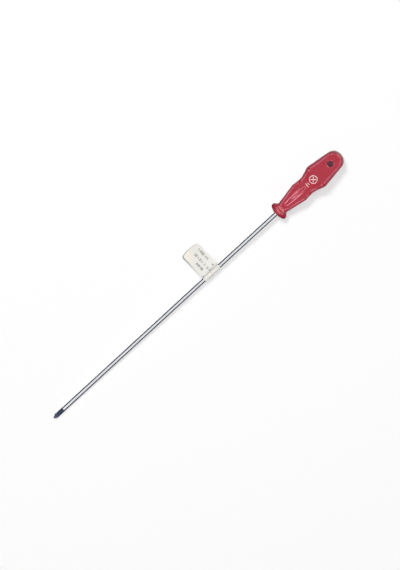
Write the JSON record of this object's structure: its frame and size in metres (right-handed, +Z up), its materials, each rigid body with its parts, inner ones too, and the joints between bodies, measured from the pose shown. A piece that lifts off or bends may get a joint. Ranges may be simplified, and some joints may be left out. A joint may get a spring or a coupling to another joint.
{
  "type": "long screwdriver",
  "caption": "Long cross-point screwdriver: slim round plated blade with a blackened tip, waisted red plastic handle with a flange and hanging hole, and a paper flag label on the blade.",
  "frame": {"origin": "centre of the blunt end of the cross point", "axes": "+X along the blade from the point to the handle, +Y towards the label's flag, +Z up along the hanging hole"},
  "size_m": [0.3891, 0.0451, 0.0264],
  "materials": {
    "blade_steel": "bright nickel-chrome plate, chemically blackened over the last 13 mm at the point",
    "handle_plastic": "moulded cellulose plastic, glossy",
    "label_paper": "uncoated off-white label paper with grey print"
  },
  "bodies": {
    "tool": {"blade": "blade_steel", "handle": "handle_plastic"},
    "label_wrap": {"label_sleeve": "label_paper"},
    "label_leaf": {"label_flag": "label_paper"}
  },
  "joints": [
    {"name": "label_slide", "type": "slide", "parent": "tool", "child": "label_wrap", "axis": [1, 0, 0], "range_m": [-0.19, 0.075]},
    {"name": "label_turn", "type": "hinge", "parent": "label_wrap", "child": "label_leaf", "pos_m": [0.21415, 0, 0], "axis": [1, 0, 0], "continuous": true}
  ]
}
